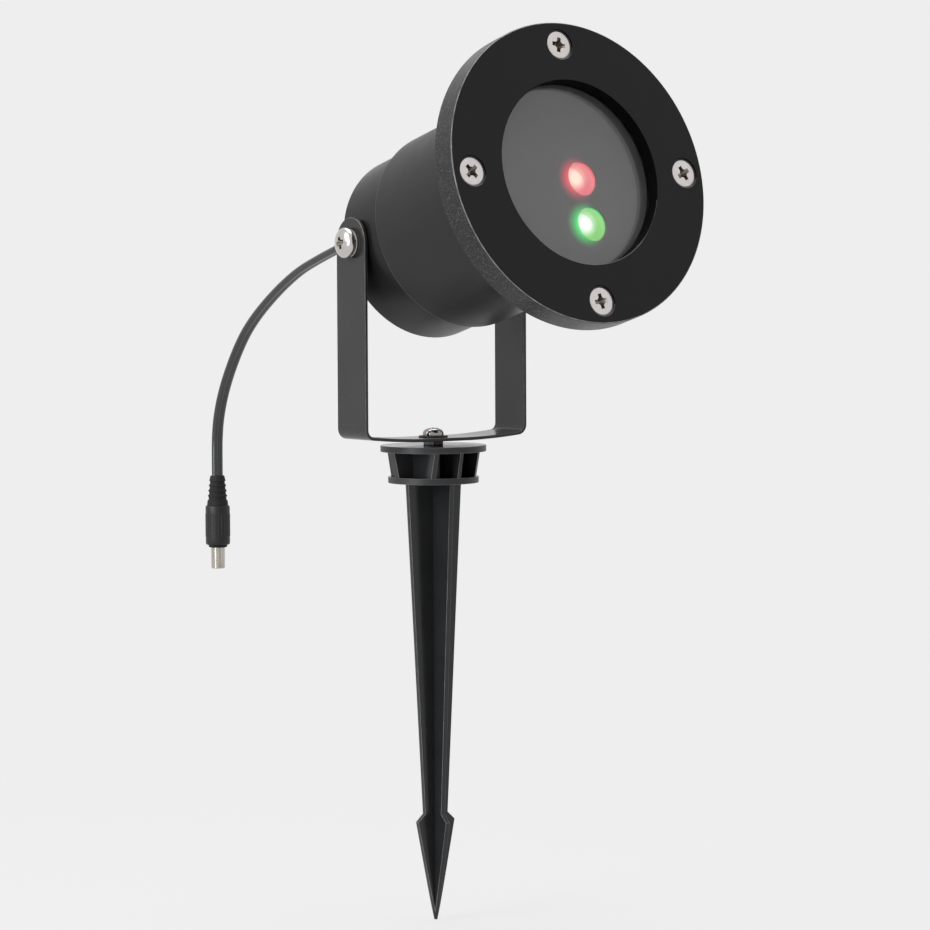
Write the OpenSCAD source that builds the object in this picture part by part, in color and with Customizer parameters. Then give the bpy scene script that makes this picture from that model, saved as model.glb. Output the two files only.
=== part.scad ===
// Garden light projector on a ground stake.
// Millimetres, +Z up, light thrown towards -Y.
// The origin is on the stake's axis at the soil line, with the lower blade in the ground.

/* [Stake] */
// Depth of the blade's tip below the soil line
blade_depth = 107.5; // [80:0.5:160]
// Height of the lower disc's underside above the soil line
flange_z = 55; // [20:1:80]
// Thickness of each disc of the stake's head
disc_t = 2.3; // [1.5:0.1:4]
// Diameter of the lower disc
lower_disc_d = 33.4; // [26:0.2:50]
// Diameter of the upper disc
upper_disc_d = 39; // [30:0.5:60]
// Clear height between the two discs
rib_h = 9.2; // [6:0.2:20]
// Thickness of the web that runs from side to side
web_t = 2.8; // [1.5:0.1:5]
// Thickness of the cross ribs
rib_t = 1.4; // [1:0.1:3]
// Distance from one cross rib to the next
rib_pitch = 9.4; // [6:0.2:12]
// Reach of web and ribs under the upper disc
rib_top_r = 18.4; // [12:0.1:22]
// Reach of web and ribs on the lower disc
rib_low_r = 16.4; // [11:0.1:21]
// Radius of the boss that holds the thread insert
boss_r = 5.2; // [4:0.1:7]
// Thickness of the blade's four fins
fin_t = 1.8; // [1.4:0.1:4]
// Reach of the fins at the top of the blade
fin_top_r = 11.9; // [8:0.1:16]
// Reach of the fins just above the barb
neck_r = 5.1; // [3:0.1:8]
// Reach of the barb's shoulder
barb_r = 8.2; // [5.2:0.1:12]
// Height of the barb's shoulder above the tip
barb_h = 37; // [20:0.5:50]
// Height of the slope from shoulder to neck
shoulder_h = 2.9; // [1:0.1:8]
// Radius of the blunt tip
tip_r = 0.6; // [0.3:0.1:2]

/* [Pan pivot] */
// Diameter of the pan screw's shank
pan_shank_d = 4; // [3:0.5:6]
// Diameter of the pan screw's head
pan_head_d = 7.8; // [6:0.1:12]
// Height of the pan screw's head
pan_head_h = 2.9; // [2:0.1:5]
// Length of thread in the insert
pan_grip = 7; // [4:0.5:8.5]
// Diameter of the washer under the head
pan_washer_d = 10.8; // [9:0.1:16]
// Thickness of that washer
pan_washer_t = 0.6; // [0.5:0.1:2]
// Width across flats of the nut under the strip
pan_nut_af = 7; // [7:0.1:12]
// Thickness of that nut
pan_nut_t = 1.7; // [1.5:0.1:4]
// Diameter of the thread insert
insert_d = 6.4; // [5:0.1:9]
// Length of the thread insert
insert_len = 9; // [6:0.5:11]

/* [Yoke] */
// Clearance between the can and each arm
arm_gap = 0.55; // [0.3:0.05:0.9]
// Width of the strip
strip_w = 18.4; // [14:0.1:26]
// Thickness of the strip
strip_t = 1.2; // [0.8:0.1:3]
// How far the middle of the strip bows down
strip_bow = 1.3; // [0.4:0.1:4]
// Half length of the strip's flat middle
strip_flat = 7; // [6:0.5:12]
// Bend radius at the middle of the strip's thickness
bend_r = 3.2; // [1.2:0.1:6]
// Height of the tilt axis above the strip's underside
pivot_rise = 72.6; // [60:0.2:110]

/* [Tilt pivot] */
// Upward aim of the can at rest, in degrees
aim = 15; // [0:1:30]
// Diameter of the tilt screws' shank
tilt_shank_d = 5; // [4:0.5:6]
// Length of the tilt screws under the head
tilt_screw_len = 12; // [10:0.5:16]
// Diameter of the tilt screws' heads
tilt_head_d = 11.2; // [8:0.1:14]
// Height of the tilt screws' heads
tilt_head_h = 3.2; // [2:0.1:6]
// Diameter of the flat washers
flat_washer_d = 10; // [9:0.1:16]
// Thickness of the flat washers
flat_washer_t = 0.6; // [0.5:0.1:2]
// Diameter of the lock washers
lock_washer_d = 9.2; // [8:0.1:12]
// Thickness of the lock washers
lock_washer_t = 1; // [0.8:0.1:2]
// Diameter of the friction washers
friction_washer_d = 12.4; // [10:0.1:16]
// Thickness of the friction washers
friction_washer_t = 1.2; // [0.9:0.1:3]
// Radius of the bosses that take the tilt screws
tilt_boss_r = 6.2; // [5:0.1:7.5]

/* [Can] */
// Diameter of the front tube
tube_d = 73; // [60:0.5:90]
// Wall of the front tube
tube_wall = 3; // [2:0.1:4]
// Distance from tilt axis to the tube's back edge
tube_back = 17.5; // [12:0.5:30]
// Step from the front tube down to the rear cap
rear_step = 2.25; // [1.6:0.05:4]
// Wall of the rear cap
rear_wall = 4; // [3:0.1:6]
// Distance from tilt axis to the rear face
rear_back = 8.5; // [8:0.1:20]
// Bevel round the rear face
rear_bevel = 2; // [0.5:0.1:4]
// Length of the rear cap's spigot in the tube
spigot_len = 10; // [6:0.5:16]
// Cord diameter of the rear seal ring
seal_d = 1.8; // [1:0.1:2.4]

/* [Bezel] */
// Distance from tilt axis to the bezel's face
front_face = 93; // [80:0.5:130]
// Diameter of the bezel
bezel_d = 108; // [100:0.5:130]
// Depth of the bezel
bezel_t = 10; // [8:0.5:16]
// Thickness of the bezel's face
bezel_face_t = 5; // [4:0.1:7]
// Wall of the bezel's rim
bezel_rim = 2.5; // [1.5:0.1:4]
// How far the bezel's opening reaches inside the tube's bore
window_lip = 0.4; // [0.2:0.1:4]
// Bevel on the bezel's outer front edge
bezel_bevel = 0.4; // [0.2:0.1:2]
// Distance from the bezel's rim to the middle of each screw
screw_edge = 8; // [6.5:0.5:10]
// Diameter of the bezel screws' shank
screw_d = 5; // [3:0.5:5]
// Diameter of the bezel screws' heads
screw_head_d = 10; // [7:0.1:11]
// How far each screw head lies below the bezel's face
screw_sink = 0.5; // [0.1:0.1:1]
// Gap round each screw head at the bezel's face
screw_rim_gap = 0.35; // [0.1:0.05:0.6]
// Length of the bezel screws
screw_len = 9.4; // [7:0.1:9.8]
// Thickness of the gasket under the bezel
front_gasket_t = 0.6; // [0.3:0.1:1.5]

/* [Window] */
// Thickness of the window glass
glass_t = 2; // [1.5:0.1:4]
// Width of the ledge that holds the glass's edge
glass_edge = 2.5; // [1.5:0.1:5]
// Thickness of the gasket behind the glass
window_gasket_t = 1; // [0.5:0.1:1.5]
// Thickness of the face plate
plate_t = 1.2; // [0.8:0.1:2]
// Diameter of the two apertures
aperture_d = 12.3; // [8:0.1:14]

/* [Lasers] */
// Sideways place of the upper beam
red_x = 5.4; // [-8:0.1:8]
// Sideways place of the lower beam
green_x = 6.4; // [-8:0.1:8]
// Height of the upper beam above the can's axis
red_up = -0.5; // [-4:0.1:8]
// Distance from the upper to the lower beam
beam_pitch = 16.4; // [15:0.1:20]
// Diameter of the laser barrels
barrel_d = 12; // [10:0.1:14]
// Length of the laser barrels
barrel_len = 32; // [26:1:33]
// Thickness of the lenses
lens_t = 1.5; // [1:0.1:3]
// How far each lens lies behind the face plate
lens_set = 4.5; // [3:0.1:5]
// Thickness of the gratings
grating_t = 1; // [0.5:0.1:1.1]
// Length of the block that holds the barrels
block_len = 16; // [12:0.5:22]
// Step of the ledge that the block rests on
block_ledge = 1; // [0.6:0.1:1.5]
// Diameter of the set screws
set_screw_d = 3; // [2:0.5:4]
// Length of the set screws
set_screw_len = 6; // [4:0.5:12]

/* [Driver] */
// Width of the driver board
board_w = 44; // [40:1:46]
// Height of the driver board
board_h = 38; // [34:1:40]
// Thickness of the driver board
board_t = 1.6; // [0.8:0.1:2]
// Length of the standoffs
standoff_len = 28; // [24:0.5:30]
// Diameter of the standoffs
standoff_d = 5; // [4:0.1:6]
// Distance from the board's edges to its screws
board_inset = 4; // [3.5:0.1:5]
// Diameter of the board screws' shank
board_screw_d = 2.5; // [2:0.1:3]
// Height of the lead connector
connector_h = 9; // [6:0.5:11]
// Diameter of the input capacitor
capacitor_d = 8; // [5:0.1:9]
// Height of the input capacitor
capacitor_h = 11; // [6:0.5:14]
// Diameter of the choke coil
choke_d = 9; // [6:0.1:10]
// Height of the choke coil
choke_h = 6; // [4:0.1:9]
// Diameter of the wires to the lasers
wire_d = 1.4; // [1:0.1:2]

/* [Lead] */
// Width of the flat power lead
lead_w = 4.8; // [3:0.1:6]
// Thickness of the flat power lead
lead_t = 3; // [2:0.1:4]
// Height of the cable gland above the can's axis
gland_up = 14; // [0:0.5:16]
// Diameter of the gland's thread
gland_d = 12; // [10:0.1:14]
// Width across flats of the gland's hexagons
gland_af = 15; // [14:0.1:17]
// Thickness of the gland's outer hexagon
gland_hex_t = 4; // [2:0.1:6]
// Thickness of the gland's lock nut
gland_nut_t = 3; // [2:0.1:4]
// Length of the gland's cap
gland_cap_len = 9.3; // [7:0.1:14]
// Thickness of the gland's seal
gland_seal_t = 2.2; // [1:0.1:4]
// Length of the lead's tapered boot
boot_len = 14; // [8:0.5:24]
// Diameter of the lead's boot at the gland
boot_d = 8.4; // [7:0.1:9.4]
// Diameter of the lead's boot at its thin end
boot_tip_d = 6.2; // [6:0.1:8]

/* [Plug] */
// Length of the plug's tapered boot
plug_boot_len = 12; // [8:0.5:20]
// Diameter of the plug's body
plug_body_d = 10; // [8:0.1:14]
// Length of the plug's body
plug_body_len = 16; // [12:0.5:24]
// Diameter of the plug's barrel
plug_barrel_d = 5.5; // [3.5:0.1:6]
// Bore of the plug's barrel
plug_bore_d = 2.1; // [1.3:0.1:2.5]
// Length of the plug's barrel
plug_barrel_len = 9.5; // [8:0.1:12]
// Wall of the insulating sleeve in the plug's barrel
plug_sleeve_t = 0.7; // [0.4:0.1:1]
// Thickness of the sealing ring at the plug's face
plug_seal_t = 1; // [0.5:0.1:2]
// Depth of the groove that the sealing ring sits in
plug_groove = 0.2; // [0.1:0.05:0.4]

/* [Clearances] */
// Radial clearance of a shank that turns in its hole
run_gap = 0.05; // [0.02:0.01:0.1]
// Radial clearance of a screw or sleeve in its thread or seat
seat_gap = 0.05; // [0.02:0.01:0.2]
// Radial clearance of a part that drops into a bore
slip_gap = 0.2; // [0.1:0.05:0.4]

/* [Hidden] */
$fn = 72;
lead_sides = 12;
lead_steps = 2;
bow_steps = 6;
bend_steps = 6;

// Heights of the stake and the yoke
upper_disc_z = flange_z + disc_t + rib_h;
stake_top = upper_disc_z + disc_t;
strip_z = stake_top + pan_nut_t;
strip_top = strip_z + strip_t;
pivot_z = strip_z + pivot_rise;
washer_top = strip_top + pan_washer_t;
shoulder_z = barb_h - blade_depth;

// Places across the tilt axis
arm_in = tube_d / 2 - rear_step + arm_gap;
arm_out = arm_in + strip_t;
spot_x = arm_in - friction_washer_t;
lock_x = arm_out + flat_washer_t;
head_x = lock_x + lock_washer_t;
tilt_hole_x = head_x - tilt_screw_len - 1;
tilt_boss_x = tilt_hole_x - 3;

// Places along the can's axis, counted forward from the tilt axis
tube_r = tube_d / 2;
bore_r = tube_r - tube_wall;
rear_r = tube_r - rear_step;
cap_bore_r = rear_r - rear_wall;
spigot_r = bore_r - seat_gap * 2;
spigot_end = tube_back + spigot_len;
cap_floor = rear_wall - rear_back;
bezel_back = front_face - bezel_t;
seat = front_face - bezel_face_t;
flange_front = seat - front_gasket_t;
flange_r = bezel_d / 2 - bezel_rim - slip_gap;
glass_back = seat - glass_t;
ledge = glass_back - window_gasket_t;
plate_back = glass_back - plate_t;
block_back = plate_back - block_len;
pocket_r = bore_r + glass_edge;
lens_front = plate_back - lens_set;
barrel_front = lens_front - lens_t;
barrel_back = barrel_front - barrel_len;
board_front = block_back - standoff_len;
board_back = board_front - board_t;
red_at = [red_x, red_up];
green_at = [green_x, red_up - beam_pitch];

// Places of the parts on the board's back
capacitor_at = [-12, 5];
choke_at = [-12, -8];
chip_places = [[6, -9], [6, 1]];
chip_size = [8, 6, 1.6];
connector_size = [10, 6.6];

// Places of the gland, behind the rear face
gland_out = -rear_back - gland_hex_t;
gland_end = gland_out - gland_cap_len;
boot_end = gland_end - boot_len;
gland_wall = 2.8;

// Route of the free lead in the plane x = 0, as [y, z], from the boot to the plug
lead_route = [
    [38.8, 147.3], [50, 144.3], [63, 140.8], [76, 137], [88.5, 132.8], [100, 127.5], [110.5, 121.6],
    [120, 115.4], [128, 109], [134.3, 102.3], [139.8, 95], [144.5, 87.6], [148.2, 80], [150.7, 72.3],
    [151.8, 64.6], [152, 57], [152, 50]
];
plug_y = 152;
plug_top = 50;
plug_body_z = plug_top - plug_boot_len;
plug_face_z = plug_body_z - plug_body_len;

// Frame of the can: x to the right, y up and z forward along its axis
module can_frame() {
    translate([0, 0, pivot_z]) rotate([90 - aim, 0, 0]) children();
}

// Both ends of the tilt axis, with z pointing outwards from the can
module tilt_ends() {
    can_frame() for (side = [-1, 1]) rotate([0, 90 * side, 0]) children();
}

module ring(outer_r, inner_r, from, to) {
    translate([0, 0, from]) difference() {
        cylinder(r = outer_r, h = to - from);
        translate([0, 0, -1]) cylinder(r = inner_r, h = to - from + 2);
    }
}

module rod(r, from, to) {
    translate([0, 0, from]) cylinder(r = r, h = to - from);
}

module hexagon(across_flats, from, to) {
    translate([0, 0, from]) cylinder(d = across_flats / cos(30), h = to - from, $fn = 6);
}

// A screw head with a domed top, standing on z = 0
module domed_head(d, h) {
    dome_h = 0.7 * h;
    dome_r = (d * d / 4 + dome_h * dome_h) / (2 * dome_h);
    intersection() {
        cylinder(d = d, h = h);
        translate([0, 0, h - dome_r]) sphere(r = dome_r);
    }
}

// A cross-shaped driver recess, cut downwards from z = 0
module cross_recess(width, depth) {
    slot = width / 4;
    for (turn = [0, 90]) rotate([0, 0, turn])
        translate([-width / 2, -slot / 2, -depth]) cube([width, slot, depth + 1]);
}

module four_corners(x, y) {
    for (sx = [-1, 1], sy = [-1, 1]) translate([sx * x, sy * y, 0]) children();
}

module bezel_holes() {
    for (turn = [0:90:270]) rotate([0, 0, turn]) translate([bezel_d / 2 - screw_edge, 0, 0]) children();
}

module beams() {
    for (place = [red_at, green_at]) translate(place) children();
}

module at_gland() {
    can_frame() translate([0, gland_up, 0]) children();
}

// Section of the flat lead, grown by a margin all round
module lead_section(margin) {
    half = (lead_w - lead_t) / 2;
    square([2 * half, lead_t + 2 * margin], center = true);
    for (side = [-1, 1]) translate([side * half, 0]) circle(d = lead_t + 2 * margin);
}

module blade_outline() {
    polygon([
        [0, -blade_depth], [tip_r, -blade_depth], [barb_r, shoulder_z], [neck_r, shoulder_z + shoulder_h],
        [fin_top_r, flange_z], [0, flange_z]
    ]);
}

module ground_stake() {
    rib_from = flange_z + disc_t;
    color([0.06, 0.06, 0.065]) difference() {
        union() {
            rod(lower_disc_d / 2, flange_z, rib_from);
            rod(upper_disc_d / 2, upper_disc_z, stake_top);
            rod(boss_r, rib_from, upper_disc_z);
            intersection() {
                translate([0, 0, rib_from]) cylinder(r1 = rib_low_r, r2 = rib_top_r, h = rib_h);
                union() {
                    translate([-upper_disc_d, -web_t / 2, rib_from]) cube([2 * upper_disc_d, web_t, rib_h]);
                    for (place = [-1:1]) translate([place * rib_pitch - rib_t / 2, -upper_disc_d, rib_from])
                        cube([rib_t, 2 * upper_disc_d, rib_h]);
                }
            }
            intersection() {
                rotate_extrude() blade_outline();
                for (turn = [0, 90]) rotate([0, 0, turn])
                    translate([-lower_disc_d, -fin_t / 2, -blade_depth])
                        cube([2 * lower_disc_d, fin_t, blade_depth + flange_z]);
            }
        }
        rod(insert_d / 2 + seat_gap, stake_top - insert_len, stake_top + 1);
    }
}

module thread_insert() {
    color([0.72, 0.56, 0.25])
        ring(insert_d / 2, pan_shank_d / 2 + seat_gap, stake_top - insert_len, stake_top);
}

module pan_screw() {
    color([0.8, 0.8, 0.8]) {
        difference() {
            translate([0, 0, washer_top]) domed_head(pan_head_d, pan_head_h);
            translate([0, 0, washer_top + pan_head_h]) cross_recess(pan_head_d * 0.5, pan_head_h * 0.55);
        }
        rod(pan_shank_d / 2, stake_top - pan_grip, washer_top);
    }
}

module pan_washer() {
    color([0.08, 0.08, 0.08]) ring(pan_washer_d / 2, pan_shank_d / 2 + seat_gap, strip_top, washer_top);
}

module pan_nut() {
    color([0.16, 0.15, 0.15]) difference() {
        hexagon(pan_nut_af, stake_top, strip_z);
        rod(pan_shank_d / 2 + seat_gap, stake_top - 1, strip_z + 1);
    }
}

// Middle line of the yoke's right half as [x, z, slope], from the strip's middle to the arm's top
arm_mid = arm_in + strip_t / 2;
mid_z = strip_z + strip_t / 2;
bow_angle = atan(2 * strip_bow / (arm_mid - bend_r - strip_flat));
bow_end = arm_mid - bend_r * (1 - sin(bow_angle));
bow_rise = tan(bow_angle) * (bow_end - strip_flat) / 2;
bow_line = [
    for (i = [0:bow_steps])
        let (t = i / bow_steps)
            [strip_flat + t * (bow_end - strip_flat), mid_z + bow_rise * t * t, atan(t * tan(bow_angle))]
];
bend_line = [
    for (i = [1:bend_steps])
        let (angle = bow_angle + (90 - bow_angle) * i / bend_steps)
            [
                bow_end + bend_r * (sin(angle) - sin(bow_angle)),
                mid_z + bow_rise + bend_r * (cos(bow_angle) - cos(angle)), angle
            ]
];
half_line = concat(bow_line, bend_line, [[arm_mid, pivot_z + strip_w, 90]]);

// Points of the right half, moved off the middle line by a signed distance, and the same for the left half
function moved(line, off) = [for (p = line) [p[0] - off * sin(p[2]), p[1] + off * cos(p[2])]];
function backwards(line) = [for (i = [len(line) - 1:-1:0]) line[i]];
function mirrored(line) = [for (p = line) [-p[0], p[1]]];

module yoke() {
    under = moved(half_line, -strip_t / 2);
    over = moved(half_line, strip_t / 2);
    color([0.1, 0.1, 0.1]) difference() {
        intersection() {
            rotate([90, 0, 0]) linear_extrude(height = strip_w, center = true)
                polygon(concat(under, backwards(over), mirrored(over), backwards(mirrored(under))));
            rotate([90, 0, 90]) linear_extrude(height = 4 * arm_out, center = true) {
                translate([-strip_w / 2, 0]) square([strip_w, pivot_z]);
                translate([0, pivot_z]) circle(d = strip_w);
            }
        }
        rod(pan_shank_d / 2 + run_gap, strip_z - 1, strip_top + 1);
        translate([-2 * arm_out, 0, pivot_z]) rotate([0, 90, 0])
            cylinder(r = tilt_shank_d / 2 + run_gap, h = 4 * arm_out);
    }
}

module tilt_screws() {
    color([0.85, 0.85, 0.85]) tilt_ends() {
        difference() {
            translate([0, 0, head_x]) domed_head(tilt_head_d, tilt_head_h);
            translate([0, 0, head_x + tilt_head_h]) cross_recess(tilt_head_d * 0.5, tilt_head_h * 0.55);
        }
        rod(tilt_shank_d / 2, head_x - tilt_screw_len, head_x);
    }
}

module lock_washers() {
    split = 0.8;
    color([0.8, 0.8, 0.8]) tilt_ends() difference() {
        ring(lock_washer_d / 2, tilt_shank_d / 2 + seat_gap, lock_x, head_x);
        translate([0, -split / 2, lock_x - 1]) cube([lock_washer_d, split, lock_washer_t + 2]);
    }
}

module flat_washers() {
    color([0.8, 0.8, 0.8]) tilt_ends()
        ring(flat_washer_d / 2, tilt_shank_d / 2 + seat_gap, arm_out, lock_x);
}

module friction_washers() {
    color([0.05, 0.05, 0.05]) tilt_ends()
        ring(friction_washer_d / 2, tilt_shank_d / 2 + seat_gap, spot_x, arm_in);
}

module front_tube() {
    edge = 0.6;
    color([0.1, 0.1, 0.1]) can_frame() difference() {
        rotate_extrude() polygon([
            [bore_r, tube_back], [tube_r - edge, tube_back], [tube_r, tube_back + edge],
            [tube_r, bezel_back], [flange_r, bezel_back], [flange_r, flange_front],
            [pocket_r, flange_front], [pocket_r, ledge],
            [bore_r, ledge], [bore_r, block_back], [bore_r - block_ledge, block_back],
            [bore_r - block_ledge, spigot_end + 1], [bore_r, spigot_end + 1]
        ]);
        bezel_holes() rod(screw_d / 2 + seat_gap, bezel_back - 1, flange_front + 1);
    }
}

module rear_cap() {
    groove_mid = tube_back + spigot_len / 2;
    groove_half = seal_d / 2 + slip_gap;
    groove_r = spigot_r - seal_d;
    spot_r = friction_washer_d / 2 + slip_gap * 2;
    color([0.1, 0.1, 0.1]) difference() {
        union() {
            can_frame() rotate_extrude() polygon([
                [0, -rear_back], [rear_r - rear_bevel, -rear_back], [rear_r, rear_bevel - rear_back],
                [rear_r, tube_back], [spigot_r, tube_back], [spigot_r, groove_mid - groove_half],
                [groove_r, groove_mid - groove_half], [groove_r, groove_mid + groove_half],
                [spigot_r, groove_mid + groove_half], [spigot_r, spigot_end], [cap_bore_r, spigot_end],
                [cap_bore_r, cap_floor], [0, cap_floor]
            ]);
            tilt_ends() rod(tilt_boss_r, tilt_boss_x, cap_bore_r + rear_wall / 4);
        }
        tilt_ends() {
            rod(spot_r, spot_x, rear_r + 1);
            rod(tilt_shank_d / 2 + seat_gap, tilt_hole_x, rear_r);
        }
        at_gland() rod(gland_d / 2 + seat_gap, -rear_back - 1, cap_floor + 1);
    }
}

module rear_seal() {
    seal_r = spigot_r - seal_d / 2 - seat_gap / 2;
    color([0.04, 0.04, 0.04]) can_frame() translate([0, 0, tube_back + spigot_len / 2])
        rotate_extrude() translate([seal_r, 0]) circle(d = seal_d - seat_gap, $fn = 32);
}

module bezel() {
    rim_r = bezel_d / 2;
    hole_r = bore_r - window_lip;
    rim_in = rim_r - bezel_rim;
    cone_h = screw_head_d / 2 - screw_d / 2;
    head_top = front_face - screw_sink;
    color([0.07, 0.07, 0.07]) can_frame() difference() {
        rotate_extrude() polygon([
            [hole_r, seat], [hole_r, front_face], [rim_r - bezel_bevel, front_face],
            [rim_r, front_face - bezel_bevel], [rim_r, bezel_back], [rim_in, bezel_back], [rim_in, seat]
        ]);
        bezel_holes() {
            rod(screw_d / 2 + seat_gap, seat - 1, front_face + 1);
            translate([0, 0, head_top - cone_h])
                cylinder(r1 = screw_d / 2 + seat_gap, r2 = screw_head_d / 2 + seat_gap, h = cone_h);
            rod(screw_head_d / 2 + screw_rim_gap, head_top, front_face + 1);
        }
    }
}

module bezel_screws() {
    cone_h = screw_head_d / 2 - screw_d / 2;
    head_top = front_face - screw_sink;
    color([0.78, 0.76, 0.75]) can_frame() bezel_holes() difference() {
        union() {
            translate([0, 0, head_top - cone_h])
                cylinder(r1 = screw_d / 2, r2 = screw_head_d / 2, h = cone_h);
            rod(screw_d / 2, front_face - screw_len, head_top - cone_h);
        }
        translate([0, 0, head_top]) cross_recess(screw_head_d * 0.52, cone_h * 0.8);
    }
}

module front_gasket() {
    color([0.04, 0.04, 0.04]) can_frame() difference() {
        ring(flange_r - slip_gap, pocket_r + slip_gap, flange_front, seat);
        bezel_holes() rod(screw_d / 2 + seat_gap, flange_front - 1, seat + 1);
    }
}

module window_glass() {
    color([0.75, 0.8, 0.8, 0.3]) can_frame() rod(pocket_r - slip_gap, glass_back, seat);
}

module window_gasket() {
    color([0.04, 0.04, 0.04]) can_frame() ring(pocket_r - slip_gap, bore_r, ledge, glass_back);
}

module face_plate() {
    color([0.36, 0.36, 0.36]) can_frame() difference() {
        rod(bore_r - slip_gap, plate_back, glass_back);
        beams() rod(aperture_d / 2, plate_back - 1, glass_back + 1);
    }
}

module laser_block() {
    color([0.7, 0.7, 0.7]) can_frame() difference() {
        rod(bore_r - slip_gap, block_back, plate_back);
        beams() {
            rod(barrel_d / 2 + seat_gap, block_back - 1, plate_back + 1);
            translate([0, 0, (block_back + plate_back) / 2]) rotate([0, 90, 0])
                cylinder(d = set_screw_d + 2 * seat_gap, h = tube_d);
        }
        four_corners(board_w / 2 - board_inset, board_h / 2 - board_inset)
            rod(board_screw_d / 2 + seat_gap, block_back - 1, block_back + 5);
    }
}

module laser_barrel(place) {
    color([0.65, 0.55, 0.3]) can_frame() translate(place)
        rod(barrel_d / 2, barrel_back, barrel_front);
}

module red_laser() {
    laser_barrel(red_at);
}

module green_laser() {
    laser_barrel(green_at);
}

module beam_disc(place, r, from, to) {
    can_frame() translate(place) rod(r, from, to);
}

module red_lens() {
    color([0.95, 0.2, 0.25]) beam_disc(red_at, barrel_d / 2 - slip_gap, barrel_front, lens_front);
}

module green_lens() {
    color([0.2, 0.9, 0.4]) beam_disc(green_at, barrel_d / 2 - slip_gap, barrel_front, lens_front);
}

module red_grating() {
    color([1, 0.5, 0.55])
        beam_disc(red_at, aperture_d / 2 - slip_gap, plate_back, plate_back + grating_t);
}

module green_grating() {
    color([0.5, 1, 0.65])
        beam_disc(green_at, aperture_d / 2 - slip_gap, plate_back, plate_back + grating_t);
}

module set_screws() {
    from = barrel_d / 2 + seat_gap;
    color([0.2, 0.2, 0.2]) can_frame() beams() translate([0, 0, (block_back + plate_back) / 2])
        rotate([0, 90, 0]) difference() {
            rod(set_screw_d / 2, from, from + set_screw_len);
            hexagon(set_screw_d / 2, from + set_screw_len - 1.5, from + set_screw_len + 1);
        }
}

module board_places() {
    can_frame() four_corners(board_w / 2 - board_inset, board_h / 2 - board_inset) children();
}

module board_standoffs() {
    thread_depth = 8;
    stud_len = 4;
    color([0.72, 0.56, 0.25]) board_places() difference() {
        union() {
            rod(standoff_d / 2, board_front, block_back);
            rod(board_screw_d / 2, block_back, block_back + stud_len);
        }
        rod(board_screw_d / 2 + seat_gap, board_front - 1, board_front + thread_depth);
    }
}

module driver_board() {
    color([0.05, 0.3, 0.12]) difference() {
        can_frame() translate([-board_w / 2, -board_h / 2, board_back]) cube([board_w, board_h, board_t]);
        board_places() rod(board_screw_d / 2 + seat_gap, board_back - 1, board_front + 1);
    }
}

module board_screws() {
    head_h = 1.6;
    color([0.8, 0.8, 0.8]) board_places() {
        rod(board_screw_d * 0.9, board_back - head_h, board_back);
        rod(board_screw_d / 2, board_back, board_front + 6);
    }
}

// A part soldered to the back of the board, z growing away from the board
module on_board(place) {
    can_frame() translate([place[0], place[1], board_back]) rotate([180, 0, 0]) children();
}

module input_capacitor() {
    color([0.1, 0.12, 0.3]) on_board(capacitor_at) cylinder(d = capacitor_d, h = capacitor_h);
}

module choke_coil() {
    core_h = 1;
    color([0.2, 0.2, 0.2]) on_board(choke_at) {
        cylinder(d = choke_d, h = core_h);
        cylinder(d = choke_d * 0.8, h = choke_h);
        translate([0, 0, choke_h - core_h]) cylinder(d = choke_d, h = core_h);
    }
}

module driver_chips() {
    color([0.05, 0.05, 0.05]) for (place = chip_places) on_board(place)
        translate([-chip_size[0] / 2, -chip_size[1] / 2, 0]) cube(chip_size);
}

module lead_connector() {
    color([0.85, 0.84, 0.8]) on_board([0, gland_up])
        translate([-connector_size[0] / 2, -connector_size[1] / 2, 0])
            cube([connector_size[0], connector_size[1], connector_h]);
}

module laser_leads() {
    color([0.5, 0.05, 0.05]) can_frame() beams() for (side = [-1, 1]) translate([side * barrel_d / 5, 0, 0])
        rod(wire_d / 2, board_front, barrel_back);
}

module inner_lead() {
    lead_from = board_back - connector_h;
    color([0.05, 0.05, 0.05]) at_gland() translate([0, 0, boot_end])
        linear_extrude(height = lead_from - boot_end) lead_section(0);
}

module gland_body() {
    bore = lead_w / 2 + slip_gap;
    thread_end = gland_end + gland_wall + gland_seal_t;
    color([0.06, 0.06, 0.06]) at_gland() difference() {
        union() {
            rod(gland_d / 2, thread_end, cap_floor + gland_nut_t);
            hexagon(gland_af, gland_out, -rear_back);
        }
        rod(bore, thread_end - 1, cap_floor + gland_nut_t + 1);
    }
}

module gland_nut() {
    color([0.06, 0.06, 0.06]) at_gland() difference() {
        hexagon(gland_af, cap_floor, cap_floor + gland_nut_t);
        rod(gland_d / 2 + seat_gap, cap_floor - 1, cap_floor + gland_nut_t + 1);
    }
}

module gland_seal() {
    from = gland_end + gland_wall;
    color([0.03, 0.03, 0.03]) at_gland()
        ring(gland_d / 2 - slip_gap, lead_w / 2 + slip_gap, from, from + gland_seal_t);
}

module gland_cap() {
    thread_r = gland_d / 2 + seat_gap;
    cap_r = gland_af / 2;
    nose_r = boot_d / 2 + 0.6;
    color([0.06, 0.06, 0.06]) at_gland() rotate_extrude() polygon([
        [thread_r, gland_out], [cap_r, gland_out],
        [cap_r, gland_end + gland_wall * 1.4], [nose_r, gland_end],
        [lead_w / 2 + slip_gap, gland_end], [lead_w / 2 + slip_gap, gland_end + gland_wall],
        [thread_r, gland_end + gland_wall]
    ]);
}

module lead_boot() {
    color([0.05, 0.05, 0.05]) at_gland() translate([0, 0, boot_end]) difference() {
        cylinder(d1 = boot_tip_d, d2 = boot_d, h = boot_len);
        translate([0, 0, -1]) linear_extrude(height = boot_len + 2) lead_section(seat_gap);
    }
}

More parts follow.
